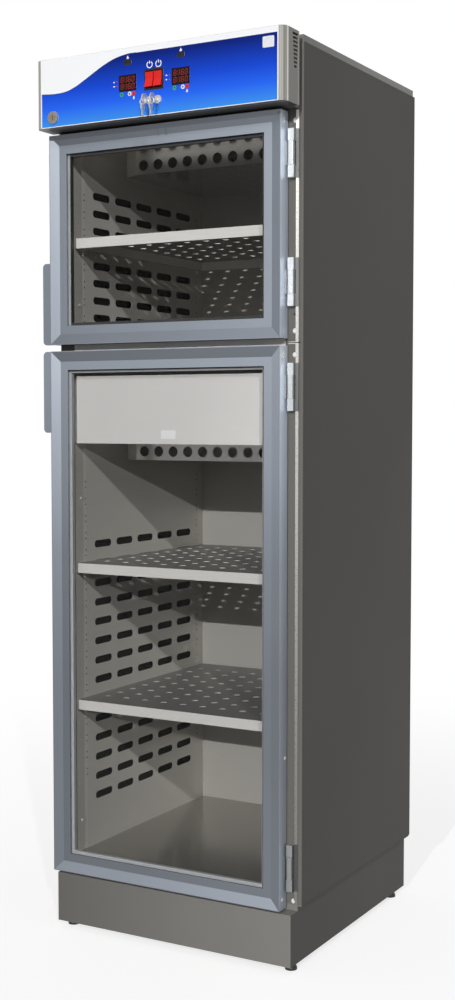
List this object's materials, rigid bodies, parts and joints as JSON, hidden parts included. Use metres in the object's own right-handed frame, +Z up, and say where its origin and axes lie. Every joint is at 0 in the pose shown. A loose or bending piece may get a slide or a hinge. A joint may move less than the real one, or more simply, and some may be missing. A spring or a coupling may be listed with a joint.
{
  "type": "blanket warming cabinet",
  "caption": "Tall floor-standing warming cabinet with two glazed, insulated chambers, perforated shelves, hinged doors with edge pulls and a control header across the top.",
  "frame": {"origin": "middle of the overall footprint, on the floor under the levelling feet", "axes": "+Z up, -Y towards the doors and controls, +X towards the hinge side"},
  "size_m": [0.638, 0.7281, 1.93],
  "materials": {
    "side_paint": "dark warm grey fine-textured powder coat",
    "front_paint": "mid grey satin powder coat",
    "header_paint": "grey satin powder coat",
    "door_paint": "blue-grey satin metallic coat",
    "centre_paint": "pale grey satin coat",
    "rear_sheet": "dark grey coat",
    "stainless_liner": "polished stainless steel",
    "stainless_shelf": "brushed stainless steel",
    "galvanised_steel": "galvanised sheet",
    "heater_sheath": "oxidised element sheath",
    "hinge_steel": "satin plated steel",
    "nickel_plate": "nickel plate",
    "aluminium_spacer": "mill aluminium section",
    "clear_glass": "clear float glass",
    "blue_film": "printed polyester film, blue",
    "display_lens": "dark red-brown display lens",
    "black_plastic": "moulded black",
    "red_plastic": "moulded red",
    "green_plastic": "moulded green",
    "white_plastic": "moulded white",
    "circuit_laminate": "green glass-fibre laminate",
    "mineral_wool": "bonded mineral wool",
    "black_rubber": "matt black"
  },
  "bodies": {
    "cabinet": {"side_panel_left": "side_paint", "side_panel_right": "side_paint", "rear_panel": "rear_sheet", "top_cover": "front_paint", "bottom_pan": "side_paint", "head_rail": "front_paint", "centre_panel": "centre_paint", "sill_rail": "front_paint", "plinth": "front_paint", "levelling_feet": "black_rubber", "upper_liner_walls": "stainless_liner", "upper_liner_decks": "stainless_liner", "lower_liner_walls": "stainless_liner", "lower_liner_decks": "stainless_liner", "insulation": "mineral_wool", "upper_shelf": "stainless_shelf", "middle_shelf": "stainless_shelf", "lower_shelf": "stainless_shelf", "shelf_clips": "stainless_shelf", "air_ducts": "stainless_shelf", "blowers": "galvanised_steel", "air_heaters": "heater_sheath", "control_housing": "header_paint", "control_overlay": "blue_film", "display_modules": "display_lens", "usb_ports": "black_plastic", "rocker_bezel": "black_plastic", "lock_barrels": "nickel_plate", "control_board": "circuit_laminate", "cord_gland": "black_plastic", "hinge_frame_halves": "hinge_steel", "plug_buttons": "white_plastic"},
    "upper_door": {"upper_door_frame": "door_paint", "upper_door_glass": "clear_glass", "upper_door_spacer": "aluminium_spacer", "upper_door_gasket": "black_rubber", "upper_door_pull": "door_paint", "upper_door_hinge_leaves": "hinge_steel"},
    "upper_fan": {"upper_fan_wheel": "galvanised_steel"},
    "lower_door": {"lower_door_frame": "door_paint", "lower_door_glass": "clear_glass", "lower_door_spacer": "aluminium_spacer", "lower_door_gasket": "black_rubber", "lower_door_pull": "door_paint", "lower_door_hinge_leaves": "hinge_steel"},
    "lower_fan": {"lower_fan_wheel": "galvanised_steel"},
    "left_rocker": {"left_rocker": "red_plastic"},
    "right_rocker": {"right_rocker": "red_plastic"},
    "left_set_button": {"left_set_button": "green_plastic"},
    "left_down_button": {"left_down_button": "white_plastic"},
    "left_up_button": {"left_up_button": "red_plastic"},
    "right_set_button": {"right_set_button": "green_plastic"},
    "right_down_button": {"right_down_button": "white_plastic"},
    "right_up_button": {"right_up_button": "red_plastic"},
    "left_key": {"left_key": "nickel_plate"},
    "right_key": {"right_key": "nickel_plate"},
    "left_spare_key": {"left_spare_key": "nickel_plate"},
    "right_spare_key": {"right_spare_key": "nickel_plate"},
    "panel_lock_plug": {"panel_lock_plug": "nickel_plate"}
  },
  "joints": [
    {"name": "upper_door_hinge", "type": "hinge", "parent": "cabinet", "child": "upper_door", "pos_m": [0.2963, -0.25295, 1.54825], "axis": [0, 0, 1], "range_deg": [0, 115]},
    {"name": "lower_door_hinge", "type": "hinge", "parent": "cabinet", "child": "lower_door", "pos_m": [0.2963, -0.25295, 0.7178], "axis": [0, 0, 1], "range_deg": [0, 115]},
    {"name": "upper_fan_spin", "type": "hinge", "parent": "cabinet", "child": "upper_fan", "pos_m": [0.014, 0.08505, 1.779], "axis": [0, 0, 1], "continuous": true},
    {"name": "lower_fan_spin", "type": "hinge", "parent": "cabinet", "child": "lower_fan", "pos_m": [0.014, 0.08505, 1.129], "axis": [0, 0, 1], "continuous": true},
    {"name": "left_rocker_tilt", "type": "hinge", "parent": "cabinet", "child": "left_rocker", "pos_m": [0.0036, -0.32555, 1.858], "axis": [1, 0, 0], "range_deg": [0, 16]},
    {"name": "right_rocker_tilt", "type": "hinge", "parent": "cabinet", "child": "right_rocker", "pos_m": [0.0244, -0.32555, 1.858], "axis": [1, 0, 0], "range_deg": [0, 16]},
    {"name": "left_set_button_press", "type": "slide", "parent": "cabinet", "child": "left_set_button", "axis": [0, 1, 0], "range_m": [0, 0.0006], "stiffness_N_per_m": 400},
    {"name": "left_down_button_press", "type": "slide", "parent": "cabinet", "child": "left_down_button", "axis": [0, 1, 0], "range_m": [0, 0.0006], "stiffness_N_per_m": 400},
    {"name": "left_up_button_press", "type": "slide", "parent": "cabinet", "child": "left_up_button", "axis": [0, 1, 0], "range_m": [0, 0.0006], "stiffness_N_per_m": 400},
    {"name": "right_set_button_press", "type": "slide", "parent": "cabinet", "child": "right_set_button", "axis": [0, 1, 0], "range_m": [0, 0.0006], "stiffness_N_per_m": 400},
    {"name": "right_down_button_press", "type": "slide", "parent": "cabinet", "child": "right_down_button", "axis": [0, 1, 0], "range_m": [0, 0.0006], "stiffness_N_per_m": 400},
    {"name": "right_up_button_press", "type": "slide", "parent": "cabinet", "child": "right_up_button", "axis": [0, 1, 0], "range_m": [0, 0.0006], "stiffness_N_per_m": 400},
    {"name": "left_key_turn", "type": "hinge", "parent": "cabinet", "child": "left_key", "pos_m": [0.004, -0.32855, 1.815], "axis": [0, 1, 0], "range_deg": [0, 90]},
    {"name": "right_key_turn", "type": "hinge", "parent": "cabinet", "child": "right_key", "pos_m": [0.024, -0.32855, 1.815], "axis": [0, 1, 0], "range_deg": [-90, 0]},
    {"name": "left_spare_key_swing", "type": "hinge", "parent": "left_key", "child": "left_spare_key", "pos_m": [0.004, -0.35655, 1.8143], "axis": [1, 0, 0], "range_deg": [-70, 5]},
    {"name": "right_spare_key_swing", "type": "hinge", "parent": "right_key", "child": "right_spare_key", "pos_m": [0.024, -0.35655, 1.8143], "axis": [1, 0, 0], "range_deg": [-70, 5]},
    {"name": "panel_lock_turn", "type": "hinge", "parent": "cabinet", "child": "panel_lock_plug", "pos_m": [-0.244, -0.32855, 1.8044], "axis": [0, 1, 0], "range_deg": [0, 90]}
  ]
}
